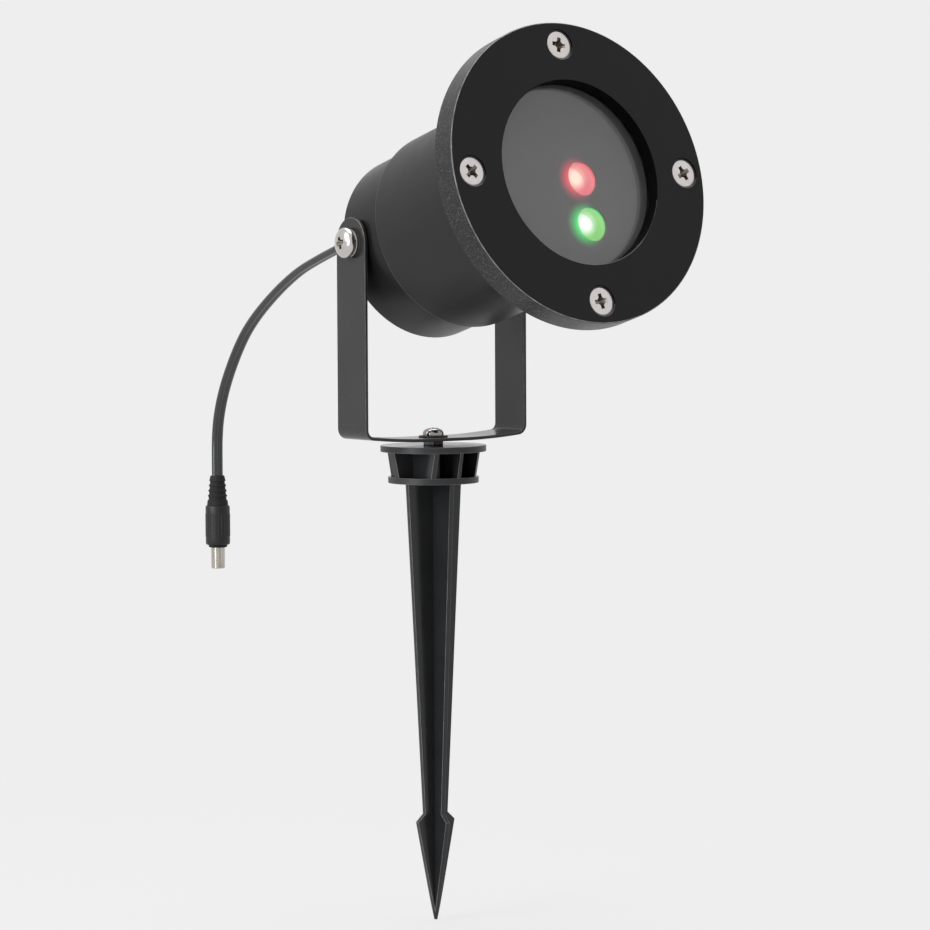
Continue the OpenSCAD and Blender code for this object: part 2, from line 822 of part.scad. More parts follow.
// Points of a smooth curve through the route, with even steps between the route's points
function along(line, i, t) =
    let (
        last = len(line) - 1,
        a = line[max(i - 1, 0)],
        b = line[i],
        c = line[min(i + 1, last)],
        d = line[min(i + 2, last)]
    )
    b + t * (c - a) / 2 + t * t * (a - 2.5 * b + 2 * c - d / 2) + t * t * t * (1.5 * (b - c) + (d - a) / 2);
function smooth(line, steps) = concat(
    [for (i = [0:len(line) - 2], k = [0:steps - 1]) along(line, i, k / steps)],
    [line[len(line) - 1]]
);
function heading(line, i) =
    let (
        step = line[min(i + 1, len(line) - 1)] - line[max(i - 1, 0)]
    )
    step / norm(step);

module power_lead() {
    line = smooth(lead_route, lead_steps);
    rings = len(line);
    points = [
        for (i = [0:rings - 1], k = [0:lead_sides - 1])
            let (
                way = heading(line, i),
                out = sin(360 * k / lead_sides) * lead_t / 2
            )
            [cos(360 * k / lead_sides) * lead_w / 2, line[i][0] - out * way[1], line[i][1] + out * way[0]]
    ];
    walls = [
        for (i = [0:rings - 2], k = [0:lead_sides - 1])
            let (
                next = (k + 1) % lead_sides,
                a = i * lead_sides,
                b = a + lead_sides
            )
            each [[a + k, a + next, b + next], [a + k, b + next, b + k]]
    ];
    first_end = [[for (k = [lead_sides - 1:-1:0]) k]];
    last_end = [[for (k = [0:lead_sides - 1]) (rings - 1) * lead_sides + k]];
    color([0.05, 0.05, 0.05]) polyhedron(points, concat(walls, first_end, last_end));
}

module at_plug() {
    translate([0, plug_y, 0]) children();
}

module plug_boot() {
    color([0.05, 0.05, 0.05]) at_plug() translate([0, 0, plug_body_z])
        cylinder(d1 = plug_body_d * 0.85, d2 = boot_tip_d, h = plug_boot_len);
}

module plug_body() {
    edge = 0.8;
    body_r = plug_body_d / 2;
    color([0.05, 0.05, 0.05]) at_plug() rotate_extrude() polygon([
        [0, plug_face_z], [body_r - edge, plug_face_z], [body_r, plug_face_z + edge],
        [body_r, plug_body_z - edge], [body_r - edge, plug_body_z], [0, plug_body_z]
    ]);
}

module plug_seal() {
    seal_out = 1;
    color([0.03, 0.03, 0.03]) at_plug() ring(
        plug_barrel_d / 2 + seal_out, plug_barrel_d / 2 - plug_groove + seat_gap,
        plug_face_z - plug_seal_t, plug_face_z
    );
}

module plug_barrel() {
    groove_gap = 0.1;
    groove_end = plug_face_z - plug_seal_t - groove_gap;
    inner_r = plug_bore_d / 2 + plug_sleeve_t;
    color([0.8, 0.8, 0.78]) at_plug() {
        ring(plug_barrel_d / 2, inner_r, plug_face_z - plug_barrel_len, groove_end);
        ring(plug_barrel_d / 2 - plug_groove, inner_r, groove_end, plug_face_z);
    }
}

module plug_insulator() {
    inset = 0.3;
    color([0.08, 0.08, 0.08]) at_plug() ring(
        plug_bore_d / 2 + plug_sleeve_t - seat_gap, plug_bore_d / 2,
        plug_face_z - plug_barrel_len + inset, plug_face_z
    );
}

ground_stake();
thread_insert();
pan_screw();
pan_washer();
pan_nut();
yoke();
tilt_screws();
lock_washers();
flat_washers();
friction_washers();
front_tube();
rear_cap();
rear_seal();
bezel();
bezel_screws();
front_gasket();
window_glass();
window_gasket();
face_plate();
laser_block();
red_laser();
green_laser();
red_lens();
green_lens();
red_grating();
green_grating();
set_screws();
board_standoffs();
driver_board();
board_screws();
input_capacitor();
choke_coil();
driver_chips();
lead_connector();
laser_leads();
inner_lead();
gland_body();
gland_nut();
gland_seal();
gland_cap();
lead_boot();
power_lead();
plug_boot();
plug_body();
plug_seal();
plug_barrel();
plug_insulator();
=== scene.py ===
import math

import bmesh
import bpy
from mathutils import Matrix, Vector
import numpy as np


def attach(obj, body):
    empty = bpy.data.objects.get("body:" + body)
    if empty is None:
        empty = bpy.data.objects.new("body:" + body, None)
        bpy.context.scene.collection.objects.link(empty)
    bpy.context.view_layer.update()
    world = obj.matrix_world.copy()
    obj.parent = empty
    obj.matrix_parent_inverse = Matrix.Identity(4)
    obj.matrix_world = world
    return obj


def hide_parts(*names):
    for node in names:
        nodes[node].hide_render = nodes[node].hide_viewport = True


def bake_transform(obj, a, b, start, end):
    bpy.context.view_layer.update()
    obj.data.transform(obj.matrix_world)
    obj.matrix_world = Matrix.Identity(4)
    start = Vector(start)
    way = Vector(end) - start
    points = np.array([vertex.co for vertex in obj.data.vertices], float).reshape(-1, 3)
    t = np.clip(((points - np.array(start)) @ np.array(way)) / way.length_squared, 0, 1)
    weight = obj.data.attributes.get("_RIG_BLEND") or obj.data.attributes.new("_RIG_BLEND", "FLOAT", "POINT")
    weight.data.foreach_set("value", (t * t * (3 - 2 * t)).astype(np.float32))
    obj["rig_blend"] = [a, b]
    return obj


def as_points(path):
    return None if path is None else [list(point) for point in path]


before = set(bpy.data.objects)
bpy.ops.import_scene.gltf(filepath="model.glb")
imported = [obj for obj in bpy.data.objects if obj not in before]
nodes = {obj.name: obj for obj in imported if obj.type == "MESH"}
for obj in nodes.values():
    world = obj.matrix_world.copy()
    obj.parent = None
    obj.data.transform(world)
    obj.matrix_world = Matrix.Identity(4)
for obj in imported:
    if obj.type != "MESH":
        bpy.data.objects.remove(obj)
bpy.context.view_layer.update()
scene = bpy.context.scene
scene.view_settings.view_transform = "Standard"
slots = {name: node.data.materials[0].name for name, node in nodes.items()}
for packed in list(bpy.data.materials):
    bpy.data.materials.remove(packed)

MM = 0.001

# The can's own frame: x to the right, y up and z forward along the light
AIM = math.radians(15)
PIVOT_HEIGHT = 143.1
CAN = Matrix.Translation((0, 0, PIVOT_HEIGHT)) @ Matrix.Rotation(math.radians(90) - AIM, 4, "X")
GLAND_RISE = 14
GLAND = CAN @ Matrix.Translation((0, GLAND_RISE, 0))
TILT_ENDS = [CAN @ Matrix.Rotation(math.radians(90 * side), 4, "Y") for side in (-1, 1)]
PLUG_AWAY = 152
PLUG = Matrix.Translation((0, PLUG_AWAY, 0))
WHOLE_TURN = math.radians(360)

# The two lights, to the right and up on the can's axes
RED_AT = (5.4, -0.5)
GREEN_AT = (6.4, -16.9)
LENS_FRONT = 80.3
FILM_FRONT = 85.9
PLATE_FRONT = 86

# The middle of each painted glow and hot spot, off its light to the right, up and forward, and where it
# starts and ends its fade
PLATE_HALO = ((-2.8, -0.3, PLATE_FRONT), 4, 9)
LENS_HOT_SPOT = ((0.9, 2, LENS_FRONT), 2.5, 5.3)
FILM_HOT_SPOT = ((-2.7, 0.2, FILM_FRONT), 1.8, 5.2)
FILM_INNER_GLOW = ((-1.5, -1.5, FILM_FRONT), 6.4, 8)


# Camera, with its lengths in millimetres

PHOTO_SIDE = 930
SENSOR = 36
CAMERA_TURN = math.radians(35.511)
CAMERA_LIFT = math.radians(3.511)
CAMERA_ROLL = math.radians(-0.282)
CAMERA_FOCUS = 3528.83
CAMERA_AWAY = 1300
CAMERA_OFF = (11.61, 6.36)
CAMERA_DATUM = Vector((0, 0, 55))
CAMERA_NEAR = 50


def set_camera():
    """Puts the camera at the photograph's angle, with its focal length given in the photograph's pixels."""
    turn, lift = CAMERA_TURN, CAMERA_LIFT
    level = Vector((math.cos(turn), -math.sin(turn), 0))
    rise = Vector((math.sin(lift) * math.sin(turn), math.sin(lift) * math.cos(turn), math.cos(lift)))
    back = Vector((-math.sin(turn) * math.cos(lift), -math.cos(turn) * math.cos(lift), math.sin(lift)))
    right = math.cos(CAMERA_ROLL) * level + math.sin(CAMERA_ROLL) * rise
    up = math.cos(CAMERA_ROLL) * rise - math.sin(CAMERA_ROLL) * level
    place = CAMERA_DATUM + CAMERA_OFF[0] * right + CAMERA_OFF[1] * up + CAMERA_AWAY * back
    data = bpy.data.cameras.new("photo_camera")
    data.sensor_width = SENSOR
    data.lens = CAMERA_FOCUS / PHOTO_SIDE * SENSOR
    data.clip_start = CAMERA_NEAR * MM
    camera = bpy.data.objects.new("photo_camera", data)
    axes = Matrix((right, up, back)).transposed().to_4x4()
    camera.matrix_world = Matrix.Translation(place * MM) @ axes
    scene.collection.objects.link(camera)
    scene.camera = camera


set_camera()


# Finishes

def join(tree, socket, value):
    """Gives a socket a value of its own, or a link from another node's socket."""
    if isinstance(value, bpy.types.NodeSocket):
        tree.links.new(value, socket)
    else:
        socket.default_value = value


def put(tree, kind, inputs=(), **settings):
    """Adds a shader node. Each input takes a number, a colour or another node's socket."""
    made = tree.nodes.new("ShaderNode" + kind)
    for name, value in settings.items():
        setattr(made, name, value)
    for name, value in dict(inputs).items():
        join(tree, made.inputs[name], value)
    return made


def new_finish(name):
    """A material with its tree, its shader and the coordinates of the object."""
    finish = bpy.data.materials.new(name)
    finish.use_nodes = True
    tree = finish.node_tree
    shader = tree.nodes["Principled BSDF"]
    place = put(tree, "TexCoord").outputs["Object"]
    return finish, tree, shader, place


def feed(tree, shader, **sockets):
    """Sets the shader's sockets, given by name with underscores, to a value or to another node's socket."""
    for name, value in sockets.items():
        join(tree, shader.inputs[name.replace("_", " ")], value)


def colour(r, g, b):
    """An opaque colour."""
    return (r, g, b, 1)


def grey(level, warm=0.0):
    """A grey, with its red raised and its blue lowered by the warm share."""
    return (level * (1 + warm), level, level * (1 - warm), 1)


BLACK = colour(0, 0, 0)
WHITE = colour(1, 1, 1)
# Pale flecks that stand in for glints, painted into the colour
FLECK_GLINT_TONE = grey(0.3)
# The paler grey of eased edges: wear and a painted highlight
WEAR_SHEEN_TONE = grey(0.3)
# The darker tone of screw recesses: grime and painted shade
GRIME_SHADE_TONE = grey(0.26, 0.12)

# The share of a flecked paint's cells that stay plain
PLAIN_SHARE = 0.8

# In millimetres: the clouds in paint, on metal and on the plate, the patches of edge wear and painted
# highlight, and the lines of a film
PAINT_CLOUD = 18
METAL_CLOUD = 3
PLATE_CLOUD = 9
WEAR_SHEEN_PATCH = 4
FILM_PITCH = 0.9


def speckle(tree, place, size, detail=3):
    """Noise with features of about the given size in millimetres, from 0 to 1."""
    return put(tree, "TexNoise", {
        "Vector": place, "Scale": 1 / (size * MM), "Detail": detail, "Roughness": 0.6
    }).outputs["Fac"]


def spread(tree, value, low, high, from_low=0.3, from_high=0.7):
    """Maps a value to a new range, clamped at both ends."""
    return put(tree, "MapRange", {
        "Value": value, "From Min": from_low, "From Max": from_high, "To Min": low, "To Max": high
    }).outputs["Result"]


def mixed(tree, share, first, second, blend="MIX"):
    """A colour between two others, by a share from 0 to 1."""
    made = put(tree, "Mix", data_type="RGBA", blend_type=blend)
    for name, value in (("Factor_Float", share), ("A_Color", first), ("B_Color", second)):
        join(tree, next(s for s in made.inputs if s.identifier == name), value)
    return next(s for s in made.outputs if s.identifier == "Result_Color")


def sums(tree, operation, first, second):
    """A sum of two values, by the name of the operation."""
    made = put(tree, "Math", operation=operation)
    for socket, value in zip(made.inputs, (first, second)):
        join(tree, socket, value)
    return made.outputs["Value"]


def dents(tree, height, depth):
    """A bump from a height of 0 to 1, as deep as given in millimetres."""
    inputs = {"Height": height, "Strength": 1, "Distance": depth * MM}
    return put(tree, "Bump", inputs).outputs["Normal"]


def painted(name, dark, pale, rough, grain, depth, shine, sparkle=0.0, fleck=0.28, worn_and_sheen=0.0):
    """Black paint or moulded plastic: clouded colour, a fine grain, bright flecks painted in as glints, and
    edges made paler by wear and a painted highlight.

    The sizes of the grain and the flecks and the grain's depth are in millimetres."""
    finish, tree, shader, place = new_finish(name)
    cloud = speckle(tree, place, PAINT_CLOUD, detail=4)
    fine = speckle(tree, place, grain, detail=2)
    tone = mixed(tree, spread(tree, cloud, 0, 1), dark, pale)
    if sparkle:
        # Pale flecks painted in as glints
        flecks = put(tree, "TexVoronoi", {"Vector": place, "Scale": 1 / (fleck * MM)}).outputs["Color"]
        bright = put(tree, "SeparateColor", {"Color": flecks}).outputs["Red"]
        tone = mixed(tree, spread(tree, bright, 0, sparkle, PLAIN_SHARE, 1), tone, FLECK_GLINT_TONE)
        fine = sums(tree, "ADD", fine, bright)
    # Eased edges turn paler: wear, and a painted highlight where they would catch the light
    if worn_and_sheen:
        edge = put(tree, "Attribute", attribute_name="worn_and_sheen").outputs["Fac"]
        patchy = spread(tree, speckle(tree, place, WEAR_SHEEN_PATCH), 0.35, 1)
        wear_sheen = sums(tree, "MULTIPLY", sums(tree, "MULTIPLY", edge, patchy), worn_and_sheen)
        tone = mixed(tree, wear_sheen, tone, WEAR_SHEEN_TONE)
    feed(
        tree, shader, Base_Color=tone, Roughness=spread(tree, cloud, rough - 0.05, rough + 0.05),
        Specular_IOR_Level=shine, Normal=dents(tree, fine, depth)
    )
    return finish


def metal(name, tint, rough, scratch, depth, dirt=0.0):
    """Bare metal with fine scratches and a little dirt, and the driver recesses darkened by grime and
    painted shade.

    The size of the scratches and their depth are in millimetres."""
    finish, tree, shader, place = new_finish(name)
    fine = speckle(tree, place, scratch)
    cloud = speckle(tree, place, METAL_CLOUD)
    dull = (tint[0] * 0.72, tint[1] * 0.7, tint[2] * 0.68, 1)
    tone = mixed(tree, spread(tree, cloud, 0, 0.35 + dirt, 0.35, 0.8), tint, dull)
    sunk = put(tree, "Attribute", attribute_name="sunk").outputs["Fac"]
    # The recesses are darkened by grime and painted shade
    tone = mixed(tree, sunk, tone, GRIME_SHADE_TONE)
    feed(
        tree, shader, Base_Color=tone, Metallic=1.0,
        Roughness=spread(tree, cloud, rough - 0.04, rough + 0.08), Normal=dents(tree, fine, depth)
    )
    return finish


finishes = {finish.name: finish for finish in (
    painted(
        "stake_plastic", grey(0.015, -0.04), grey(0.019, -0.04),
        rough=0.18, grain=0.5, depth=0.001, shine=0.42, worn_and_sheen=0.7
    ),
    painted(
        "stake_disc", grey(0.015, -0.02), grey(0.019, -0.02),
        rough=0.42, grain=0.5, depth=0.001, shine=0.42, worn_and_sheen=0.5
    ),
    painted(
        "yoke_paint", grey(0.02, 0.03), grey(0.024, 0.03),
        rough=0.2, grain=0.35, depth=0.001, shine=0.34, worn_and_sheen=0.3
    ),
    painted(
        "can_paint", grey(0.0078, 0.03), grey(0.01, 0.03),
        rough=0.38, grain=0.3, depth=0.004, shine=0.27, worn_and_sheen=0.15
    ),
    # A darker copy of the can's paint for the rear cap: painted shade
    painted(
        "cap_paint_shaded", grey(0.0055, 0.03), grey(0.007, 0.03),
        rough=0.33, grain=0.3, depth=0.004, shine=0.21, worn_and_sheen=0.15
    ),
    painted(
        "bezel_paint", grey(0.004), grey(0.005),
        rough=0.34, grain=0.3, depth=0.006, shine=0.22, sparkle=0.01, worn_and_sheen=0.85
    ),
    # The bezel's rim: a grained coat with flecks painted in as glints, paler and shinier than the face as
    # painted light
    painted(
        "bezel_side", grey(0.006), grey(0.009),
        rough=0.34, grain=0.3, depth=0.006, shine=0.32, sparkle=0.24, fleck=0.3
    ),
    # Painted shade: matt black for the walls and the slopes that don't face up in the bezel's openings
    painted("opening_shade_black", grey(0.0015), grey(0.0025), rough=0.6, grain=0.3, depth=0.008, shine=0.05),
    painted(
        "gland_plastic", grey(0.008), grey(0.013),
        rough=0.46, grain=0.4, depth=0.012, shine=0.36, worn_and_sheen=0.06
    ),
    painted("rubber", grey(0.01), grey(0.014), rough=0.7, grain=0.25, depth=0.012, shine=0.25),
    painted(
        "lead_pvc", grey(0.01, -0.05), grey(0.014, -0.05),
        rough=0.16, grain=0.8, depth=0.001, shine=0.8
    ),
    painted("chip_black", grey(0.012), grey(0.02), rough=0.6, grain=0.15, depth=0.01, shine=0.4),
    metal("stainless", colour(0.74, 0.7, 0.69), rough=0.34, scratch=0.12, depth=0.002),
    metal("chrome_screw", colour(0.6, 0.58, 0.56), rough=0.14, scratch=0.1, depth=0.0012),
    # A darker chrome that stands in for the dark surroundings the pan screw reflects: a painted darker
    # reflection
    metal("dark_chrome", colour(0.32, 0.3, 0.285), rough=0.1, scratch=0.1, depth=0.0012),
    metal("black_steel", colour(0.06, 0.058, 0.056), rough=0.38, scratch=0.15, depth=0.003, dirt=0.3),
    metal("brass", colour(0.72, 0.5, 0.2), rough=0.28, scratch=0.15, depth=0.002),
    metal("nickel_plate", colour(0.5, 0.47, 0.42), rough=0.16, scratch=0.12, depth=0.001, dirt=0.2),
    metal("aluminium", colour(0.48, 0.48, 0.49), rough=0.36, scratch=0.15, depth=0.003),
)}


def close_to(tree, place, at, shift, full, none):
    """A share that is 1 near a point of the can and 0 far from it, by two distances in millimetres.

    The point is off one of the lights, by the shift to the right, up and forward."""
    point = CAN @ Vector((at[0] + shift[0], at[1] + shift[1], shift[2])) * MM
    away = put(tree, "VectorMath", {0: place, 1: point}, operation="DISTANCE").outputs["Value"]
    return spread(tree, away, 1, 0, full * MM, none * MM)


def plate_finish():
    """A dull grey plate with a painted glow of each light's colour around the two lit holes."""
    finish, tree, shader, place = new_finish("plate_grey")
    cloud = speckle(tree, place, PLATE_CLOUD, detail=4)
    tone = mixed(tree, spread(tree, cloud, 0, 1), grey(0.102, 0.012), grey(0.107, 0.012))
    # The painted glow around each light starts black
    glow = BLACK
    for at, tint in ((RED_AT, colour(1, 0.03, 0.09)), (GREEN_AT, colour(0.02, 0.95, 0.18))):
        near = sums(tree, "POWER", close_to(tree, place, at, *PLATE_HALO), 2)
        glow = mixed(tree, 1.0, glow, mixed(tree, near, BLACK, tint), blend="ADD")
    feed(
        tree, shader, Base_Color=tone, Roughness=0.5, Specular_IOR_Level=0.3,
        Emission_Color=glow, Emission_Strength=0.75
    )
    return finish


def lens_finish(name, at, core, rim, strength):
    """A lens with a painted glow for the light behind it: a painted white hot spot near the middle, with the
    light's colour towards its rim.
    """
    finish, tree, shader, place = new_finish(name)
    near = sums(tree, "POWER", close_to(tree, place, at, *LENS_HOT_SPOT), 1.6)
    light = mixed(tree, near, rim, core)
    feed(tree, shader, Base_Color=rim, Roughness=0.15, Emission_Color=light, Emission_Strength=strength)
    return finish


def film_finish(name, at, core, middle, rim, strength):
    """A thin film ruled with fine lines, with the light that it scatters painted on as a glow.

    Its painted glow has a pale hot spot over the lens behind it, and the light's full colour along its far
    rim."""
    finish, tree, shader, place = new_finish(name)
    lines = put(tree, "TexWave", {
        "Vector": place, "Scale": 1 / (FILM_PITCH * MM), "Distortion": 0.4
    }, wave_type="BANDS", bands_direction="X").outputs["Fac"]
    ruled = mixed(tree, spread(tree, lines, 0, 0.2, 0, 1), middle, rim)
    spot = sums(tree, "POWER", close_to(tree, place, at, *FILM_HOT_SPOT), 1.3)
    inner = close_to(tree, place, at, *FILM_INNER_GLOW)
    feed(
        tree, shader, Base_Color=(rim[0] * 0.2, rim[1] * 0.2, rim[2] * 0.2, 1), Roughness=0.12, Alpha=0.7,
        Emission_Color=mixed(tree, inner, rim, mixed(tree, spot, ruled, core)),
        Emission_Strength=strength, Normal=dents(tree, lines, 0.004)
    )
    return finish


def glass_finish():
    """Clear window glass, very slightly grey, with faint wipe marks."""
    finish, tree, shader, place = new_finish("window_glass")
    smear = speckle(tree, place, 6, detail=4)
    feed(
        tree, shader, Base_Color=colour(0.97, 0.98, 0.98), Roughness=spread(tree, smear, 0.0, 0.004),
        IOR=1.52, Transmission_Weight=1.0
    )
    return finish


def board_finish():
    """Solder mask over copper tracks, which show as paler green lines."""
    finish, tree, shader, place = new_finish("board_green")
    tracks = put(tree, "TexBrick", {
        "Vector": place, "Scale": 160, "Mortar Size": 0.03, "Color1": WHITE, "Color2": WHITE, "Mortar": BLACK
    }).outputs["Fac"]
    cloud = speckle(tree, place, 5)
    tone = mixed(tree, spread(tree, cloud, 0, 1), colour(0.006, 0.09, 0.03), colour(0.01, 0.12, 0.045))
    tone = mixed(tree, tracks, tone, colour(0.03, 0.2, 0.07))
    feed(tree, shader, Base_Color=tone, Roughness=0.3, Normal=dents(tree, tracks, 0.03))
    return finish


def sleeve_finish(name, main, stripe, rough):
    """Shrink sleeve or coloured plastic with a mottled second colour."""
    finish, tree, shader, place = new_finish(name)
    cloud = speckle(tree, place, 2.5)
    tone = mixed(tree, spread(tree, cloud, 0, 1), main, stripe)
    feed(
        tree, shader, Base_Color=tone, Roughness=rough,
        Normal=dents(tree, speckle(tree, place, 0.3), 0.01)
    )
    return finish


finishes.update({finish.name: finish for finish in (
    plate_finish(),
    # The lenses and films glow with painted light in place of the lamps behind them
    lens_finish("red_optic", RED_AT, core=colour(1, 0.78, 0.58), rim=colour(0.2, 0.07, 0.11), strength=3),
    lens_finish("green_optic", GREEN_AT, core=colour(1, 1, 0.95), rim=colour(0.07, 0.28, 0.12), strength=3),
    film_finish(
        "red_film", RED_AT, core=colour(1, 0.72, 0.58), middle=colour(0.84, 0.18, 0.22),
        rim=colour(0.78, 0.03, 0.08), strength=0.9
    ),
    film_finish(
        "green_film", GREEN_AT, core=colour(1, 1, 0.98), middle=colour(0.24, 0.6, 0.12),
        rim=colour(0.02, 0.72, 0.1), strength=0.9
    ),
    glass_finish(),
    board_finish(),
    sleeve_finish("capacitor_sleeve", colour(0.012, 0.02, 0.1), colour(0.02, 0.03, 0.14), rough=0.35),
    sleeve_finish("connector_ivory", colour(0.72, 0.7, 0.62), colour(0.64, 0.62, 0.54), rough=0.45),
    sleeve_finish("wire_red", colour(0.4, 0.01, 0.01), colour(0.5, 0.02, 0.015), rough=0.4),
)})

for name, node in nodes.items():
    node.data.materials.clear()
    node.data.materials.append(finishes[slots[name]])


# Ways to make and place a piece

# The bend in degrees from which an edge is sharp, breaks the shading of an eased piece, or isn't flat
SHARP = 30
SOFT_CREASE = 28
FLAT = 0.5

# How close points of a turned shape and of a solid are joined, in millimetres
TURNED_WELD = 1e-5
SOLID_WELD = 2e-3


def shade(bm, crease):
    """Smooth shading, broken at creases and where a rounded edge meets the face beside it."""
    rounded = bm.faces.layers.float.get("rounded")
    for face in bm.faces:
        face.smooth = True
    for edge in bm.edges:
        sides = edge.link_faces
        edge.smooth = len(sides) == 2 and edge.calc_face_angle() < math.radians(crease)
        if rounded and edge.smooth:
            edge.smooth = sides[0][rounded] == sides[1][rounded]


def shown(bm, name, slot, crease=35, finish=None):
    """A mesh object from a bmesh in millimetres of the part's own frame."""
    bmesh.ops.transform(bm, matrix=Matrix.Scale(MM, 4), verts=bm.verts)
    shade(bm, crease)
    mesh = bpy.data.meshes.new(name)
    bm.to_mesh(mesh)
    bm.free()
    mesh.materials.append(finishes[finish or slot])
    made = bpy.data.objects.new(name, mesh)
    scene.collection.objects.link(made)
    return made


def set_on(piece, body, *stands_for):
    """Makes a piece move with a body and stand for solids of the frame."""
    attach(piece, body)
    if stands_for:
        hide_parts(*stands_for)
    return piece


def only(kind, geometry):
    """The items of one kind."""
    return [item for item in geometry if isinstance(item, kind)]


def closed_loop(bm, verts):
    """New edges through the points in turn and back to the first."""
    return [bm.edges.new((verts[i - 1], verts[i])) for i in range(len(verts))]


def drawn_out(bm, edges, matrix):
    """Extrudes a loop of edges and moves the new loop. Gives the new loop's edges."""
    made = bmesh.ops.extrude_edge_only(bm, edges=edges)["geom"]
    verts = only(bmesh.types.BMVert, made)
    bmesh.ops.transform(bm, matrix=matrix, verts=verts)
    new = set(verts)
    return [e for e in only(bmesh.types.BMEdge, made) if all(v in new for v in e.verts)]


def turned(profile, steps=96, closed=True):
    """A shape turned about the z axis from points of (radius, height)."""
    bm = bmesh.new()
    verts = [bm.verts.new((r, 0, z)) for r, z in profile]
    edges = [bm.edges.new(pair) for pair in zip(verts, verts[1:])]
    if closed:
        edges.append(bm.edges.new((verts[-1], verts[0])))
    bmesh.ops.spin(
        bm, geom=verts + edges, axis=(0, 0, 1), cent=(0, 0, 0), angle=WHOLE_TURN, steps=steps,
        use_merge=True
    )
    bmesh.ops.remove_doubles(bm, verts=bm.verts, dist=TURNED_WELD)
    bmesh.ops.recalc_face_normals(bm, faces=bm.faces)
    return bm


def copies(bm, places):
    """One bmesh with the shape at each of the places."""
    whole = bmesh.new()
    mesh = bpy.data.meshes.new("shape")
    bm.to_mesh(mesh)
    bm.free()
    for place in places:
        start = len(whole.verts)
        whole.from_mesh(mesh)
        whole.verts.ensure_lookup_table()
        bmesh.ops.transform(whole, matrix=place, verts=whole.verts[start:])
    bpy.data.meshes.remove(mesh)
    return whole


def placed(bm, matrix):
    """The same bmesh, moved."""
    bmesh.ops.transform(bm, matrix=matrix, verts=bm.verts)
    return bm


def eased(node, edge, steps=2):
    """A bmesh of a solid of the frame with its sharp edges rounded, and these marked for wear and a painted
    highlight.
    """
    bm = bmesh.new()
    bm.from_mesh(nodes[node].data)
    placed(bm, Matrix.Scale(1 / MM, 4))
    bmesh.ops.remove_doubles(bm, verts=bm.verts, dist=SOLID_WELD)
    bmesh.ops.dissolve_limit(bm, angle_limit=math.radians(FLAT), verts=bm.verts, edges=bm.edges)
    for name in ("worn_and_sheen", "rounded"):
        bm.faces.layers.float.new(name)
    worn_and_sheen, made = (bm.faces.layers.float[name] for name in ("worn_and_sheen", "rounded"))
    edges = [
        e for e in bm.edges
        if len(e.link_faces) == 2 and e.calc_face_angle_signed() > math.radians(SHARP)
    ]
    rounded = bmesh.ops.bevel(
        bm, geom=edges, offset=edge, offset_type="OFFSET", affect="EDGES", segments=steps, profile=0.5,
        clamp_overlap=True, material=-1
    )
    for face in rounded["faces"]:
        face[worn_and_sheen] = face[made] = 1
    return bm


def softened(node, name, edge, finish=None):
    """A piece like a solid of the frame, with rounded edges."""
    return shown(eased(node, edge), name, slots[node], SOFT_CREASE, finish)


# The power lead

LEAD_ROUTE = [
    (38.8, 147.3), (50, 144.3), (63, 140.8), (76, 137), (88.5, 132.8), (100, 127.5), (110.5, 121.6),
    (120, 115.4), (128, 109), (134.3, 102.3), (139.8, 95), (144.5, 87.6), (148.2, 80), (150.7, 72.3),
    (151.8, 64.6), (152, 57), (152, 50),
]
LEAD_WIDTH = 4.8
LOBE_R = 1.4
LOBE_OFF = LEAD_WIDTH / 2 - LOBE_R
LOBE_STEPS = 9
LEAD_STEPS = 5
LEAD_TUCK = 3


def smooth_line(points, steps):
    """Points on a smooth curve through the given ones."""
    line = []
    for i in range(len(points) - 1):
        a, b = points[max(i - 1, 0)], points[i]
        c, d = points[i + 1], points[min(i + 2, len(points) - 1)]
        for k in range(steps):
            t = k / steps
            line.append(
                b + t * (c - a) / 2 + t * t * (a - 2.5 * b + 2 * c - d / 2)
                + t * t * t * (1.5 * (b - c) + (d - a) / 2)
            )
    return line + [points[-1]]


def lead_outline():
    """The flat lead's section: two round cores side by side, with a shallow groove where they meet."""
    reach = math.pi - math.acos(LOBE_OFF / LOBE_R)
    turns = [reach * (2 * k / LOBE_STEPS - 1) for k in range(LOBE_STEPS)]
    return [
        Vector((side * (LOBE_OFF + LOBE_R * math.cos(turn)), side * LOBE_R * math.sin(turn), 0))
        for side in (1, -1) for turn in turns
    ]


def power_lead():
    """The twin lead from the boot to the plug, which bends as the can tilts."""
    route = smooth_line([Vector((0, y, z)) for y, z in LEAD_ROUTE], LEAD_STEPS)
    first = route[0] - LEAD_TUCK * (route[1] - route[0]).normalized()
    last = route[-1] - Vector((0, 0, LEAD_TUCK))
    path = [first, *route, last]
    across = Vector((1, 0, 0))
    stations = []
    for i, point in enumerate(path):
        ahead = (path[min(i + 1, len(path) - 1)] - path[max(i - 1, 0)]).normalized()
        axes = Matrix((across, ahead.cross(across), ahead)).transposed().to_4x4()
        stations.append(Matrix.Translation(point) @ axes)
    bm = bmesh.new()
    ring = [bm.verts.new(stations[0] @ point) for point in lead_outline()]
    loop = closed_loop(bm, ring)
    bmesh.ops.contextual_create(bm, geom=loop)
    for before, station in zip(stations, stations[1:]):
        loop = drawn_out(bm, loop, station @ before.inverted())
    bmesh.ops.contextual_create(bm, geom=loop)
    bmesh.ops.recalc_face_normals(bm, faces=bm.faces)
    lead = shown(bm, "twin_lead", "lead_pvc", crease=60)
    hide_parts("power_lead")
    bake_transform(lead, "head", "yoke", start=path[1] * MM, end=(0, 0.148, 0.082))
    return lead, [point * MM for point in path]


lead, lead_path = power_lead()


# Screws and washers

SCREW_STEPS = 48

# How deep each part of a cross recess goes, as a share of its depth, and how far it narrows
RECESS_PARTS = ((0.25, 0.9), (0.75, 0.45))

